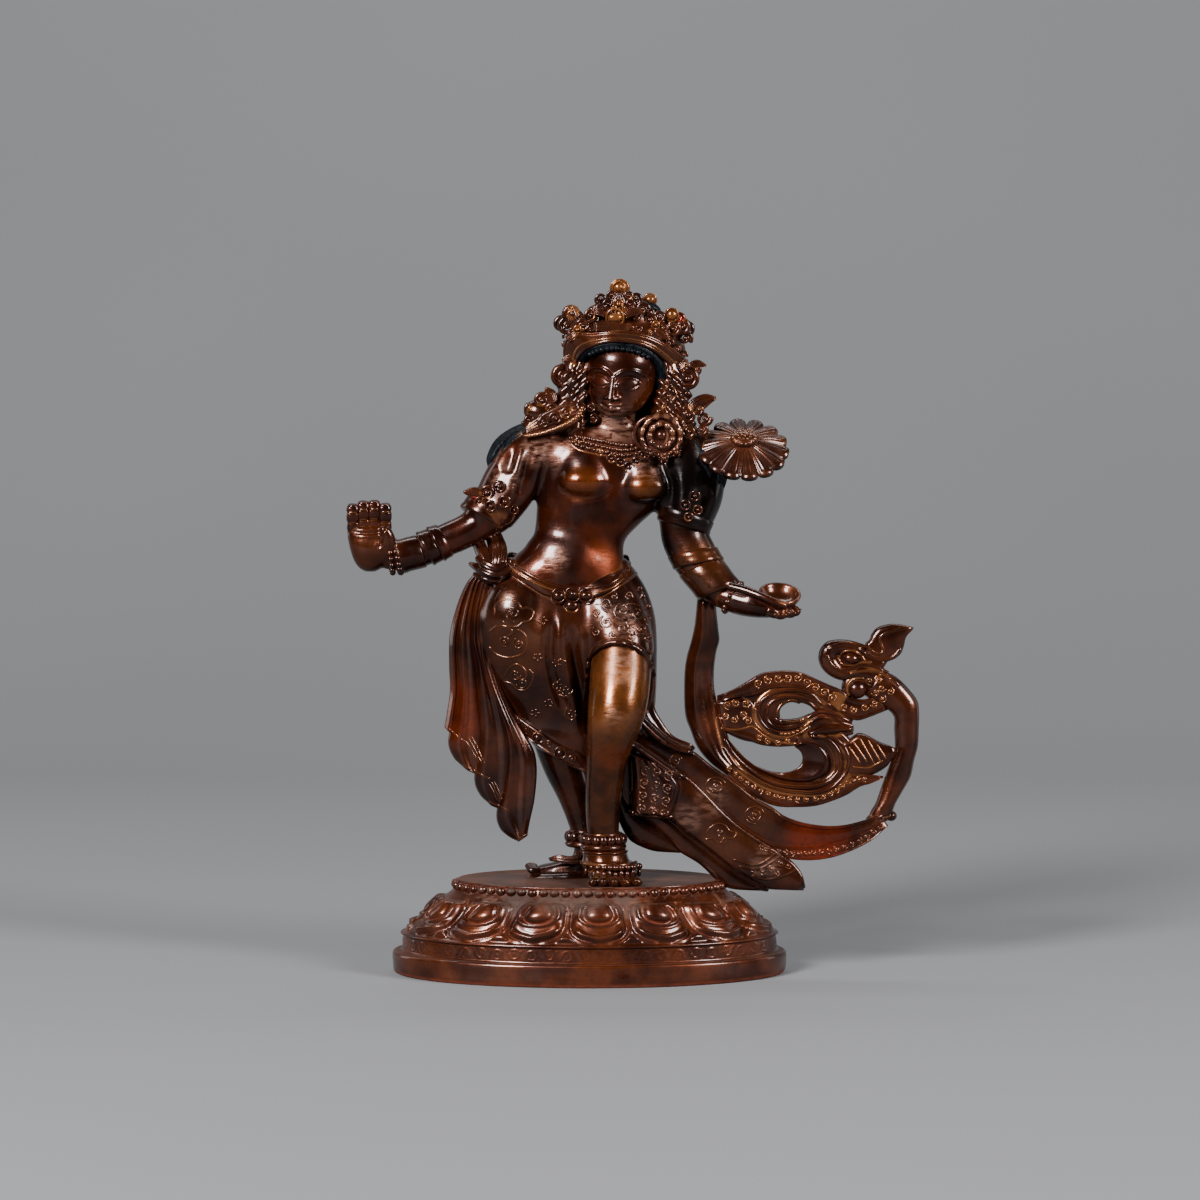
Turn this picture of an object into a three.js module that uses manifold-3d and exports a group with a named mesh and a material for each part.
// Dancing tara, a copper statue about 260 mm tall on an oval lotus base.
// Millimetres, +Z up, the viewer on the -Y side, +X to the viewer's right.
// The origin is the centre of the underside of the base.
import * as THREE from 'three';
import { mergeVertices } from 'three/addons/utils/BufferGeometryUtils.js';
import Module from 'manifold-3d';

const wasm = await Module();
wasm.setup();

// Driving dimensions
const TOTAL_HEIGHT = 260;
const BASE_HALF_WIDTH = 74;
const BASE_DEPTH_RATIO = 0.6;
const BASE_FOOT_HEIGHT = 8.3;
const BASE_BAND_TOP = 15;
const BASE_PETAL_TOP = 32.2;
const DECK_HALF_WIDTH = 50;
const DECK_Z = 34;
const RIM_TOP = 35.2;
const PETALS = 14;
const JOINT_GAP = 0.3;
const SCROLL_Y = 0.5;
const SCROLL_HALF_THICKNESS = 3;
const SCROLL_ROOM = 0.45;
const HEAD_TURN = THREE.MathUtils.degToRad(-27);
const HEAD_CENTRE = [11.5, -2, 221];
const FLOWER_PETALS = 14;
const FLOWER_CENTRE = [57.2, -8, 196.7];
const FLOWER_TIP_BACK = THREE.MathUtils.degToRad(42);
const FLOWER_TURN = THREE.MathUtils.degToRad(8);
const BOWL_TIP = THREE.MathUtils.degToRad(24);
const BOWL_FOOT = [71, -13, 139.6];

// Solids from meshes

function toSolid(geometry) {
  const bare = geometry.index ? geometry.toNonIndexed() : geometry.clone();
  bare.deleteAttribute('normal');
  bare.deleteAttribute('uv');
  const merged = mergeVertices(bare, 1e-4);
  return new wasm.Manifold(new wasm.Mesh({
    numProp: 3,
    vertProperties: new Float32Array(merged.attributes.position.array),
    triVerts: new Uint32Array(merged.index.array),
  }));
}

function toGeometry(solid) {
  const mesh = solid.getMesh();
  const geometry = new THREE.BufferGeometry();
  geometry.setAttribute('position', new THREE.BufferAttribute(mesh.vertProperties, 3));
  geometry.setIndex(new THREE.BufferAttribute(mesh.triVerts, 1));
  geometry.computeVertexNormals();
  return geometry;
}

function join(solids) {
  return solids.reduce((whole, next) => whole.add(next));
}

// A value read between the entries of a list, with t from 0 to 1 along it
function along(list, t) {
  const place = Math.min(t * (list.length - 1), list.length - 1 - 1e-9);
  const before = Math.floor(place);
  return list[before] + (list[before + 1] - list[before]) * (place - before);
}

// A closed body whose sections are ovals across a smooth path.
// wide is the half width in the plane of the path, thick the half thickness across it.
function sweep(path, wide, thick, { sides = 5, steps = path.length - 1, across = [0, 1, 0], round = 0.5 } = {}) {
  const points = path.map((p) => new THREE.Vector3(...p));
  const curve = new THREE.CatmullRomCurve3(points, false, 'centripetal');
  const flat = new THREE.Vector3(...across);
  const skin = new THREE.CylinderGeometry(1, 1, 1, sides, steps, false);
  const position = skin.attributes.position;
  for (let i = 0; i < position.count; i += 1) {
    const t = THREE.MathUtils.clamp(position.getY(i) + 0.5, 0, 1);
    const centre = curve.getPoint(t);
    const tangent = curve.getTangent(t);
    const side = new THREE.Vector3().crossVectors(flat, tangent).normalize();
    const depth = new THREE.Vector3().crossVectors(tangent, side);
    const atEnd = t < 1e-6 || t > 1 - 1e-6;
    const shrink = atEnd ? round : 1;
    centre.addScaledVector(side, position.getX(i) * along(wide, t) * shrink);
    centre.addScaledVector(depth, -position.getZ(i) * along(thick, t) * shrink);
    position.setXYZ(i, centre.x, centre.y, centre.z);
  }
  return toSolid(skin);
}

// A closed body of level ovals, from the lowest to the highest.
// Each level is [z, left x, right x, middle y, half depth, lift of its right end].
function loft(levels, sides) {
  const rows = levels.length - 1;
  const skin = new THREE.CylinderGeometry(1, 1, 1, sides, rows, false);
  const position = skin.attributes.position;
  for (let i = 0; i < position.count; i += 1) {
    const level = levels[Math.round((position.getY(i) + 0.5) * rows)];
    const [z, left, right, middle, depth, lift = 0] = level;
    const u = position.getX(i);
    const x = (left + right) / 2 + u * (right - left) / 2;
    position.setXYZ(i, x, middle - position.getZ(i) * depth, z + u * lift);
  }
  return toSolid(skin);
}

function oval(centre, half, columns = 6, rows = 3, turn = [0, 0, 0]) {
  const skin = new THREE.SphereGeometry(1, columns, rows);
  skin.scale(...half);
  skin.rotateX(turn[0]);
  skin.rotateY(turn[1]);
  skin.rotateZ(turn[2]);
  skin.translate(...centre);
  return toSolid(skin);
}

// An upright plate in the X-Z plane, with rounded edges
function plate(outline, middleY, thickness) {
  const shape = new THREE.Shape(outline.map(([x, z]) => new THREE.Vector2(x, z)));
  const edge = thickness / 4;
  const skin = new THREE.ExtrudeGeometry(shape, {
    depth: thickness - 2 * edge, bevelEnabled: true, bevelThickness: edge, bevelSize: edge, bevelOffset: -edge,
    bevelSegments: 1, curveSegments: 4,
  });
  skin.rotateX(Math.PI / 2);
  skin.translate(0, middleY + (thickness - 2 * edge) / 2, 0);
  return toSolid(skin);
}

// Lotus base

// Angles on an oval that cut its edge into equal lengths
function evenAngles(count, ratio) {
  const fine = 2000;
  const lengths = [0];
  const at = (k) => [Math.cos(k / fine * 2 * Math.PI), ratio * Math.sin(k / fine * 2 * Math.PI)];
  for (let k = 1; k <= fine; k += 1) {
    const [x0, y0] = at(k - 1);
    const [x1, y1] = at(k);
    lengths.push(lengths[k - 1] + Math.hypot(x1 - x0, y1 - y0));
  }
  const angles = [];
  let k = 0;
  for (let i = 0; i < count; i += 1) {
    while (lengths[k] < lengths[fine] * i / count) k += 1;
    angles.push(k / fine * 2 * Math.PI);
  }
  return angles;
}

function lotusBase() {
  const perPetal = 4;
  const columns = PETALS * perPetal;
  const angles = evenAngles(columns, BASE_DEPTH_RATIO);
  // Rows of [z, half width, depth of the cleft between petals], up to the thin lip and the deck inside it
  const rows = [
    [0, BASE_HALF_WIDTH, 0],
    [BASE_FOOT_HEIGHT, BASE_HALF_WIDTH, 0],
    [BASE_FOOT_HEIGHT + 0.9, BASE_HALF_WIDTH - 3.4, 0],
    [BASE_BAND_TOP, BASE_HALF_WIDTH - 3.8, 0],
    [BASE_BAND_TOP + 1.6, BASE_HALF_WIDTH - 2.4, 5],
    [BASE_BAND_TOP + 8.6, BASE_HALF_WIDTH - 6.4, 3.5],
    [BASE_PETAL_TOP, DECK_HALF_WIDTH + 2, 0],
    [RIM_TOP - 0.6, DECK_HALF_WIDTH + 1.5, 0],
    [RIM_TOP, DECK_HALF_WIDTH + 0.6, 0],
    [DECK_Z, DECK_HALF_WIDTH - 1.8, 0],
  ];
  const skin = new THREE.CylinderGeometry(1, 1, 1, columns, rows.length - 1, false);
  const position = skin.attributes.position;
  for (let i = 0; i < position.count; i += 1) {
    const row = Math.round((position.getY(i) + 0.5) * (rows.length - 1));
    const [z, halfWidth, cleft] = rows[row];
    const x = position.getX(i);
    const y = -position.getZ(i);
    if (Math.hypot(x, y) < 0.5) {
      position.setXYZ(i, 0, 0, z);
      continue;
    }
    const column = (Math.round(Math.atan2(y, x) / (2 * Math.PI) * columns) + columns) % columns;
    const lobe = Math.abs(Math.sin(Math.PI * (column / perPetal + 0.5)));
    const reach = halfWidth - cleft * (1 - lobe) ** 2;
    const angle = angles[column];
    position.setXYZ(i, reach * Math.cos(angle), reach * BASE_DEPTH_RATIO * Math.sin(angle), z);
  }
  return toSolid(skin);
}

// Scarf strip and openwork scroll

// Strokes of the scroll: a path in the X-Z plane with its half widths
function scrollStroke(points, wide, { steps, thin = 1, shift = 0 } = {}) {
  const path = points.map(([x, z]) => [x, SCROLL_Y + shift, z]);
  const thick = wide.map(() => SCROLL_HALF_THICKNESS * thin);
  return { path, wide, thick, steps: steps ?? points.length * 2 };
}

const STRIP = {
  path: [
    [44.6, -5, 141.5], [43.7, -2, 125], [41.7, 0, 111.5], [42.4, 0.5, 98.5], [45, 0.5, 86.5], [50.5, 0.5, 77],
  ],
  wide: [3.6, 5, 5, 5.2, 5, 4.2],
  thick: [3, 3.2, 3.2, 3.2, 3, 2.6],
  steps: 9,
};

const SCROLL_STROKES = [
  STRIP,
  // the border along the top, from the leaf beside the strip over to the stem
  scrollStroke([
    [48, 102.5], [60, 106.5], [72, 109.6], [84.5, 105.6], [95, 100], [103, 98], [110, 101.5], [115, 106],
  ], [2.6, 3.4, 3.5, 3.5, 3.6, 3.8, 3.5, 3.2], { steps: 9 }),
  // the leaf beside the strip
  scrollStroke([[46, 97], [53, 97.5], [60, 97], [67, 92.5]], [5, 5.6, 5.6, 3.4], { steps: 6 }),
  // the bend round the small opening, which runs on as the middle of the S
  scrollStroke([
    [80, 104], [72, 104.6], [65.8, 99], [68.5, 91.8], [76, 90.4], [84, 94.3], [92, 97], [99, 95],
  ], [2.6, 2.8, 3.4, 3.8, 3.8, 3.2, 2.8, 2.2], { steps: 9 }),
  // the plump lower half of the S round the large opening
  scrollStroke([
    [78, 89], [86, 90], [92, 83], [88.5, 75.5], [79, 71.5], [67, 72.5], [57.5, 79], [51.5, 88.5],
  ], [2.4, 4, 6, 6, 4.4, 3.6, 3.2, 2.8], { steps: 9 }),
  // the leaf that turns out to the stem
  scrollStroke([[95, 83], [102, 82], [109, 81.8], [115, 80]], [6, 7.6, 6, 3], { steps: 6 }),
  // the beaded border below
  scrollStroke([[49.5, 77.6], [59, 70], [69, 65.8], [80, 64.6], [92, 65.8], [101, 69.5], [111, 76]],
    [2.8, 3, 3.2, 3, 3, 3.4, 2.6], { steps: 12 }),
  // the long stem at the outer edge, with its knuckled end on the train
  scrollStroke([
    [107, 110.5], [113.5, 107], [118, 100.5], [119.8, 91], [118.5, 82], [115.3, 72], [111, 62.5], [108.5, 56],
  ], [3.2, 4.2, 4.2, 4.2, 4.2, 4.2, 4, 3.6], { steps: 12 }),
  scrollStroke([[105, 57.5], [109.5, 57], [114, 58.5]], [2.6, 3.2, 2.4], { steps: 4 }),
  // the curl at the top, its small hook and its flame
  scrollStroke([
    [110, 112], [103, 116.5], [97, 120.5], [91.5, 120.5], [89.5, 117], [93, 113.5], [98, 113.5], [104, 110.5],
  ], [3.4, 3.6, 3.6, 3.4, 3.2, 3, 2.8, 2.6], { steps: 9 }),
  scrollStroke([[95, 107.5], [98, 104.8], [102.5, 106], [104, 110]], [1.6, 2.4, 2.6, 2.4], { steps: 6 }),
  scrollStroke([[102, 118.5], [107.5, 118.5], [112, 121.5], [114.5, 125.5], [121, 129.5]],
    [2.6, 3.4, 4.2, 3.6, 0.8], { steps: 8 }),
];

function strokes(list, grow) {
  return join(list.map(({ path, wide, thick, steps }) => {
    const wider = wide.map((value) => value + grow);
    const thicker = thick.map((value) => value + grow);
    return sweep(path, wider, thicker, { sides: 6, steps, round: 0.6 });
  }));
}

// Figure

function head() {
  const parts = [
    oval([0, 0, 1], [12.6, 14, 14.5], 9, 6),
    oval([0, -4.5, -6], [8.6, 8.6, 8.2], 7, 4),
    sweep([[0, -13.4, 3.5], [0, -15.2, -0.5], [0, -15.4, -2.5]],
      [1.2, 1.6, 2], [1, 1.6, 1.6], { sides: 6, steps: 2 }),
  ];
  return join(parts).rotate(0, 0, THREE.MathUtils.radToDeg(HEAD_TURN)).translate(...HEAD_CENTRE);
}

function crown() {
  const [x, y] = HEAD_CENTRE;
  const band = loft([
    [226, x - 14, x + 18, y + 4, 13, -2],
    [231, x - 18, x + 24.5, y + 1, 15.5, -2.4],
    [238, x - 18, x + 24.5, y, 16, -2],
    [241, x - 16, x + 22, y, 15, -2],
    [249, x - 9, x + 12, y + 1, 9],
    [254, x - 5, x + 6, y, 6],
  ], 11);
  const opening = oval([x + 2, y - 10, 228], [14.5, 12, 8.5], 10, 5);
  const tips = [
    [[x - 17.4, -6, 243], [4.6, 3.6, 5.2]],
    [[x, -15, 244.5], [6, 3.4, 5.6]],
    [[x - 0.5, -11, 250.5], [6.6, 4, 5]],
    [[x + 13, -12, 241.5], [6, 3.4, 5]],
    [[x + 24, -3, 238], [3.6, 4, 4.4]],
    [[x + 13, 2, 250], [3.6, 4, 4]],
    [[x - 15, 7, 241.5], [4, 4, 4.6]],
    [[x + 19.5, 8, 239], [4, 4, 4.6]],
    [[x + 3, 14, 241], [5, 3.4, 5]],
  ].map(([centre, half]) => oval(centre, half, 5));
  const finial = [
    oval([x, -3, 254], [5.4, 5, 2.6], 8, 4),
    oval([x, -3, TOTAL_HEIGHT - 3.9], [3.9, 3.9, 3.9], 8, 5),
  ];
  return join([band.subtract(opening), ...tips, ...finial]);
}

function headOrnaments() {
  return join([
    oval([-7, 0.5, 228], [5.6, 4.6, 4.6]),
    oval([-8, -1, 222], [5, 5, 3.8]),
    oval([36.8, -2, 226], [5.4, 4, 4.8]),
    oval([29.5, -5, 217], [4.4, 4, 5.2]),
    // hair and leaf falling to the shoulders
    sweep([[30, 3, 224], [32, 3, 212], [34, 3, 202]], [5, 6, 6], [6, 7, 6], { steps: 4 }),
    sweep([[-6, 4, 224], [-9, 4, 212], [-16, 3, 202]], [5, 6, 7], [6, 7, 6], { steps: 4 }),
    sweep([[-1, -6, 212], [-10, -7, 209], [-19, -4, 206], [-25, -3, 200]], [2.6, 5.4, 6.4, 4.4], [3, 4, 5, 4],
      { steps: 5 }),
    // round brooch, curls and leaf tip at the flower's side
    oval([25.5, -11, 202.5], [7, 3.4, 7], 8, 5),
    oval([35.5, -5, 208.6], [5.4, 5, 5.4]),
    oval([35, -8, 203], [5, 4.4, 4]),
    sweep([[36, -5, 209], [41.5, -6, 215.2], [46, -6, 214.2]], [3, 2.8, 0.9], [3, 2.6, 1], { steps: 4 }),
  ]);
}

function torso() {
  return join([
    loft([
      [146, -34, 14, -1, 13],
      [152.7, -31, 13.5, -1.5, 13],
      [157, -27.4, 12.8, -2, 12.5],
      [162.4, -21.6, 13.4, -2, 11.6],
      [168, -20.2, 18.4, -2, 11.2],
      [173.6, -19.6, 24.2, -2, 11.8],
      [181, -20.2, 27.8, -2, 12],
      [188.6, -21, 31, -1.5, 12],
      [196, -25, 36, -1, 11],
      [201, -22, 34, -0.5, 9.5],
      [205, -10, 27, 0, 8],
    ], 14),
    // neck
    loft([[200, -3, 23, -1, 9], [206, 1.5, 17.5, -1.5, 7.4], [214, 2.5, 18.5, -1, 7.6]], 10),
    // belly and breasts
    oval([-8.2, -5.4, 152.6], [15.6, 10.8, 13.6], 10, 6),
    oval([-1, -10.5, 186], [9.4, 7, 7.6], 8, 5),
    oval([19.5, -11, 183.5], [8.4, 6.6, 7.4], 8, 5),
    // necklace
    sweep([[-6, -8, 204], [12, -11.5, 196.5], [29, -8, 203]], [2, 4, 2], [2.4, 2.4, 2.4], { steps: 4 }),
  ]);
}

// Fingers from their roots, each lifted along one direction with its last two joints bent
function fingers(roots, lift, bend, radius) {
  const wide = [radius, radius, radius, radius * 0.8];
  return roots.map((root) => {
    const path = [0, 0.55, 0.85, 1].map((t, i) => {
      const bends = Math.max(0, i - 1);
      return root.map((start, axis) => start + lift[axis] * t + bend[axis] * bends);
    });
    return sweep(path, wide, wide, { sides: 5, steps: 3 });
  });
}

function rightArm() {
  const roots = [-87.7, -83.9, -79.8, -75.8].map((x, i) => [x, -11, 166 + 0.5 * Math.sin(i)]);
  return join([
    // sleeve
    sweep([[-16, -1, 199], [-24, -2, 193], [-31.5, -4, 182], [-38, -6, 172]],
      [8, 9.6, 9.4, 8.6], [9, 10, 9.8, 9.2], { sides: 7, steps: 3, round: 0.7 }),
    // forearm in its wound cloth
    sweep([[-37, -6.6, 171], [-48, -8, 165], [-59.6, -9.4, 160], [-71.6, -11, 156.4]],
      [6.8, 6.3, 6, 5.2], [6.8, 6.2, 5.8, 5], { sides: 7, steps: 4, round: 0.8 }),
    // palm, four fingers and thumb
    sweep([[-71, -11, 156.6], [-77, -11.5, 156.4], [-80.6, -11.5, 161], [-81.8, -11, 167.8]],
      [3.8, 5.6, 8.2, 8], [3.6, 4.4, 4.6, 3], { steps: 5, round: 0.85 }),
    ...fingers(roots, [0, 0.4, 8.6], [0, -1.8, -0.6], 2.2),
    sweep([[-76, -13, 158], [-73.8, -14.6, 162.5], [-74.4, -15.4, 166.5]],
      [2.6, 2.2, 1.8], [2.4, 2, 1.8], { sides: 5, steps: 3 }),
    // armlet with its leaf
    oval([-38.5, -14.5, 181], [8, 3.4, 3.6], 8, 5, [0, -0.2, 0]),
    // twisted sash behind the elbow and its knot on the hip
    sweep([[-43, 0, 166], [-38.4, -5, 160], [-35.4, -9, 153]], [4.4, 4.8, 4], [4.6, 4.6, 3.6], { steps: 4 }),
    oval([-37.4, -9, 151.3], [6.4, 4, 3.2]),
  ]);
}

function leftArm() {
  const roots = [[70, -17, 138], [71, -13.6, 137], [71, -10.2, 137]];
  // Radius and height, from the middle of the foot round the rim to the middle of the hollow
  const section = [[0, 0], [3.6, 0.3], [6.6, 3], [7.6, 6.4], [6.6, 6.4], [5.4, 3.4], [0, 1.8]];
  const bowl = new THREE.LatheGeometry(section.map(([r, z]) => new THREE.Vector2(r, z)), 14);
  bowl.rotateX(Math.PI / 2);
  bowl.rotateX(BOWL_TIP);
  bowl.translate(...BOWL_FOOT);
  return join([
    // sleeve
    sweep([[28, 0, 200], [34.6, -1, 194], [37.6, -2, 184], [36.4, -3, 174], [35.4, -3.6, 167]],
      [9, 12, 12.6, 11.2, 9.4], [9, 11, 11, 10.2, 9.2], { sides: 7, steps: 4, round: 0.7 }),
    // forearm
    sweep([[35.2, -4, 171], [37, -5.2, 160], [43.2, -8, 150.4], [51, -10.6, 142.4], [58, -12.4, 140]],
      [9, 8.8, 7.8, 5.8, 4.8], [8.6, 8.2, 7.4, 5.4, 4.8], { sides: 7, steps: 6 }),
    // hand under the bowl, its fingers and thumb
    sweep([[52, -11, 141.4], [63, -13.6, 138.8], [73, -14, 137.4]],
      [4.8, 4.2, 2.6], [4.8, 5.6, 5.4], { steps: 4 }),
    ...fingers(roots, [8, 0, -0.8], [0.4, 0, 1], 1.9),
    sweep([[57, -16, 143.4], [64, -19, 143], [69, -20, 142.4]],
      [2, 1.9, 1.6], [2, 1.9, 1.6], { sides: 5, steps: 3 }),
    toSolid(bowl),
  ]);
}

function flower() {
  const columns = FLOWER_PETALS * 3;
  // Rows of [height, radius, depth of the cleft between petals]
  const rows = [[-3.4, 4, 0], [0, 17, 2.6], [1.2, 16.6, 2.6], [2.6, 4.4, 0]];
  const skin = new THREE.CylinderGeometry(1, 1, 1, columns, rows.length - 1, false);
  const position = skin.attributes.position;
  for (let i = 0; i < position.count; i += 1) {
    const row = Math.round((position.getY(i) + 0.5) * (rows.length - 1));
    const [height, radius, cleft] = rows[row];
    const x = position.getX(i);
    const y = -position.getZ(i);
    const lobe = Math.min(1, 1.2 * Math.abs(Math.sin(Math.atan2(y, x) * FLOWER_PETALS / 2)));
    const reach = Math.hypot(x, y) < 0.5 ? 0 : radius - cleft * (1 - lobe);
    position.setXYZ(i, reach * x, reach * y, height);
  }
  skin.rotateX(FLOWER_TIP_BACK);
  skin.rotateZ(FLOWER_TURN);
  skin.translate(...FLOWER_CENTRE);
  const stalk = sweep([[38, -2, 197], [46, -2, 195], [55, -4, 193.5]],
    [6, 5, 3.4], [5, 4.4, 3], { steps: 4 });
  return join([toSolid(skin), stalk]);
}

function skirt() {
  // Hanging folds, from the outer one inwards
  const folds = [
    {
      path: [[-41, 1, 150], [-47.5, 0, 134], [-50, -1, 115], [-50.6, -1, 97], [-48.5, -1, 87]],
      wide: [3, 4, 4.6, 4.4, 3],
    },
    {
      path: [[-39.5, 0, 149], [-43.5, -1, 132], [-43.5, -2, 112], [-42.3, -2, 94], [-42, -2, 77]],
      wide: [3, 4.6, 5, 5.6, 3.6],
    },
    {
      path: [[-37.5, -2, 148], [-38.4, -3, 126], [-35.6, -3, 105], [-33.6, -3, 86], [-35, -3, 64]],
      wide: [3, 4.6, 5, 6, 3.4],
    },
    {
      path: [
        [-35, -2, 144], [-34.5, -3, 121], [-29.5, -3, 98], [-25.4, -3, 80], [-25.4, -3, 65], [-26.8, -2, 51.5],
      ],
      wide: [3, 4, 5, 5.4, 6, 3],
    },
  ];
  return join([
    loft([
      [84, -24, 6, 2, 8, -7],
      [98, -31.6, 23, 3, 11, -2],
      [110, -39, 25.4, 1, 15],
      [125, -44, 25.4, -1, 17.5],
      [140, -42.8, 23.1, -1.5, 17.5],
      [150, -37.8, 17.4, -1.5, 16],
      [157, -32.6, 13, -1, 14],
    ], 14),
    // thigh of the standing leg under the cloth, and the rim of the cloth over the knee
    sweep([[5, -3, 142], [10, -8, 132], [12, -12.5, 121]],
      [13, 12.8, 11.8], [12, 12, 11.6], { sides: 10, steps: 3, round: 0.86 }),
    // clasp and hanging folds
    oval([-5.5, -18.5, 144.5], [7.6, 3, 2.8]),
    oval([-7, -18.8, 139.6], [2.8, 2.2, 3]),
    ...folds.map(({ path, wide }) => sweep(path, wide, wide.map((w) => w * 0.4 + 3.4), { steps: 5 })),
  ]);
}

// A ring of beads round an ankle, as a plain swelling
function anklet(x, y, low, high, radius) {
  const middle = (low + high) / 2;
  return loft([
    [low, x - radius + 1.6, x + radius - 1.6, y, radius - 1.6],
    [middle, x - radius, x + radius, y, radius],
    [high, x - radius + 1.6, x + radius - 1.6, y, radius - 1.6],
  ], 8);
}

function legs() {
  return join([
    // standing leg: the knee comes forward and the shin falls back from it
    sweep([
      [12, -11, 125], [11.6, -14.4, 114], [11, -17.2, 106], [10.2, -19.2, 99], [9.2, -18.6, 92.6], [6.6, -12.8, 77],
      [5.4, -9.6, 63], [5.4, -7.4, 50], [5.8, -6.4, 40],
    ], [11, 11.4, 11.3, 11, 10.2, 8, 6.9, 5.8, 5.6], [11, 11.4, 11.2, 10.8, 10.2, 8.6, 7.2, 6, 5.8],
    { sides: 8, steps: 8, round: 0.8 }),
    anklet(5.3, -7.3, 46, 53.4, 8.8),
    // front foot, its collar and its toes
    sweep([[5.6, 1, 38], [6.6, -6, 38.6], [8.4, -12.6, 38], [9.8, -20.6, 36.4]],
      [4.8, 7.4, 9.2, 9.4], [4, 4.8, 4, 2.4], { sides: 8, steps: 4, across: [0, 0, 1] }),
    sweep([[-1, -10.5, 40], [8, -15.4, 41.6], [17, -10.5, 40]],
      [2.4, 3, 2.4], [2.4, 2.4, 2.4], { steps: 4, sides: 6 }),
    // rear leg behind the cloth
    sweep([[-15, 5, 104], [-13.6, 6, 90], [-8.4, 8, 73], [-3.2, 9, 58], [-1, 9, 48], [-1.5, 9, 41]],
      [9.4, 8.8, 7.4, 5.6, 4.9, 4.8], [8.6, 8.4, 7.2, 5.8, 5, 4.8], { sides: 8, steps: 6, round: 0.8 }),
    anklet(-1.4, 9.2, 47, 52, 7.4),
    sweep([[1, 8.6, 40], [-6, 9.6, 38.6], [-13, 11, 37.4], [-22, 12.2, 36.6]],
      [4.6, 5, 5.6, 5], [4.6, 3.8, 2.9, 2], { sides: 6, steps: 4, across: [0, 0, 1] }),
    oval([-8, 11, 34.6], [15, 9, 3.4], 8, 4),
  ]);
}

function train() {
  return join([
    // upper ribbon, which carries the scroll
    sweep([
      [20, 0, 96], [28, -2, 86], [37, -4, 76.6], [49, -5, 67.4], [61, -5, 58.8], [74, -5, 53.2], [88, -5, 50.6],
      [100, -4.6, 52], [111, -3.6, 56],
    ], [7, 5.8, 5.4, 5.4, 6, 5.6, 4.6, 3.6, 2.4], [3.4, 3, 2.6, 2.4, 2.4, 2.4, 2.4, 2.4, 2.2], { steps: 9 }),
    // lower ribbon, nearer the viewer
    sweep([
      [13, 0, 88], [21, -3, 77], [31, -6, 66], [41, -7.5, 55.4], [51.6, -8.5, 46.4], [62.4, -9, 40], [72, -9, 36.8],
      [80, -9, 33.6],
    ], [5, 6, 8, 8.2, 7.8, 6.6, 4.8, 2.2], [4, 3.4, 2.8, 2.6, 2.6, 2.6, 2.6, 2], { steps: 12 }),
    // flap of cloth from the knee down to the scroll
    sweep([[18.6, -1, 116], [18.8, -2, 103], [24, -3.6, 92], [32, -4.6, 85.6], [39.6, -5, 82.4]],
      [5.6, 5.2, 4, 2.8, 2], [3, 3, 3, 2.8, 2.6], { steps: 6 }),
    // pleated block between the legs and the ribbons, and the dark fold behind it
    plate([[17, 60], [17.6, 76], [26.5, 78], [33.8, 68.4], [31.8, 59.4], [23, 58.6]], -5, 8),
    sweep([[11, 3, 86], [13, 4, 66], [20, 3, 51], [32, 0, 46.2], [43, -3, 49]],
      [8, 6.4, 4.4, 3.6, 3], [4, 3.4, 3, 3, 3], { steps: 8 }),
  ]);
}

// Assembly

function deckClearance() {
  const block = new THREE.CylinderGeometry(DECK_HALF_WIDTH + 4, DECK_HALF_WIDTH + 4, DECK_Z + JOINT_GAP, 40);
  block.rotateX(Math.PI / 2);
  block.scale(1, BASE_DEPTH_RATIO, 1);
  block.translate(0, 0, (DECK_Z + JOINT_GAP) / 2);
  return toSolid(block);
}

const scroll = strokes(SCROLL_STROKES, 0);
const scrollRoom = strokes(SCROLL_STROKES, SCROLL_ROOM);
const whole = join([
  torso(), head(), crown(), headOrnaments(), rightArm(), leftArm(), flower(), skirt(), legs(), train(),
]);
const figure = whole.subtract(scrollRoom).subtract(deckClearance());

function copper(color, roughness) {
  return new THREE.MeshStandardMaterial({ color, roughness, metalness: 1 });
}

function node(name, solid, material) {
  const mesh = new THREE.Mesh(toGeometry(solid), material);
  mesh.name = name;
  return mesh;
}

const statue = new THREE.Group();
statue.add(node('lotus_base', lotusBase(), copper(0x6b3526, 0.42)));
statue.add(node('figure', figure, copper(0x7a3d24, 0.34)));
statue.add(node('scarf_scroll', scroll, copper(0x743826, 0.36)));

export default statue;
